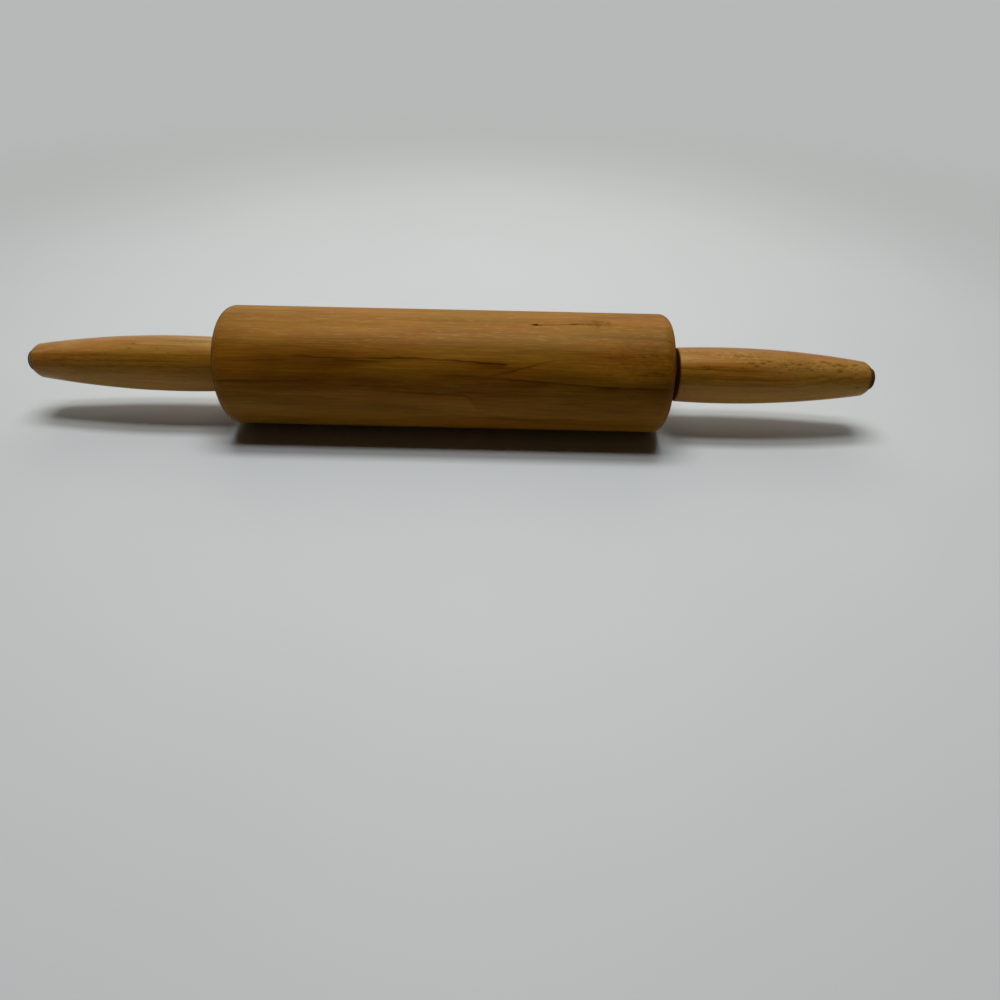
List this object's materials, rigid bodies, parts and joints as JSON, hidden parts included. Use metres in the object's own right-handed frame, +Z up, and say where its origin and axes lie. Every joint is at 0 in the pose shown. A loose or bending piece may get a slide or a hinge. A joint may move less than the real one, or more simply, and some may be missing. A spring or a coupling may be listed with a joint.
{
  "type": "rolling pin",
  "caption": "Wooden rolling pin: a smooth round barrel that spins on ball bearings and floats a little along a steel axle between tapered turned handles.",
  "frame": {"origin": "on the table, under the middle of the axle, where the barrel rests", "axes": "+X along the pin towards the right handle, +Y away from the viewer, +Z up"},
  "size_m": [0.4912, 0.068, 0.0679],
  "materials": {
    "barrel_wood": "oiled hardwood, satin, fine lengthwise grain",
    "handle_wood": "clear-finished hardwood, satin, worn and lightly dented",
    "axle_steel": "bright drawn rod",
    "bearing_steel": "ground",
    "plated_steel": "zinc plated, dull",
    "red_fibre": "dark red pressed fibre, matt"
  },
  "bodies": {
    "spindle": {"axle": "axle_steel", "left_handle": "handle_wood", "left_thrust_washer": "red_fibre", "left_nut_washer": "plated_steel", "left_nut": "plated_steel", "left_tip_button": "handle_wood", "right_handle": "handle_wood", "right_thrust_washer": "red_fibre", "right_nut_washer": "plated_steel", "right_nut": "plated_steel", "right_tip_button": "handle_wood"},
    "bearing_cones": {"left_bearing_cone": "bearing_steel", "right_bearing_cone": "bearing_steel"},
    "barrel": {"barrel": "barrel_wood", "left_bearing_cup": "bearing_steel", "left_dust_shield": "plated_steel", "right_bearing_cup": "bearing_steel", "right_dust_shield": "plated_steel"},
    "left_ball_set": {"left_ball_cage": "plated_steel", "left_ball_1": "bearing_steel", "left_ball_2": "bearing_steel", "left_ball_3": "bearing_steel", "left_ball_4": "bearing_steel", "left_ball_5": "bearing_steel", "left_ball_6": "bearing_steel", "left_ball_7": "bearing_steel"},
    "right_ball_set": {"right_ball_cage": "plated_steel", "right_ball_1": "bearing_steel", "right_ball_2": "bearing_steel", "right_ball_3": "bearing_steel", "right_ball_4": "bearing_steel", "right_ball_5": "bearing_steel", "right_ball_6": "bearing_steel", "right_ball_7": "bearing_steel"}
  },
  "joints": [
    {"name": "barrel_float", "type": "slide", "parent": "spindle", "child": "bearing_cones", "axis": [1, 0, 0], "range_m": [0, 0.0033]},
    {"name": "barrel_spin", "type": "hinge", "parent": "bearing_cones", "child": "barrel", "pos_m": [0, 0, 0.03395], "axis": [1, 0, 0], "continuous": true},
    {"name": "left_ball_roll", "type": "hinge", "parent": "bearing_cones", "child": "left_ball_set", "pos_m": [0, 0, 0.03395], "axis": [1, 0, 0], "continuous": true},
    {"name": "right_ball_roll", "type": "hinge", "parent": "bearing_cones", "child": "right_ball_set", "pos_m": [0, 0, 0.03395], "axis": [1, 0, 0], "continuous": true}
  ],
  "couplings": [
    {"joint": "left_ball_roll", "follows": "barrel_spin", "ratio": 0.625},
    {"joint": "right_ball_roll", "follows": "barrel_spin", "ratio": 0.625}
  ]
}
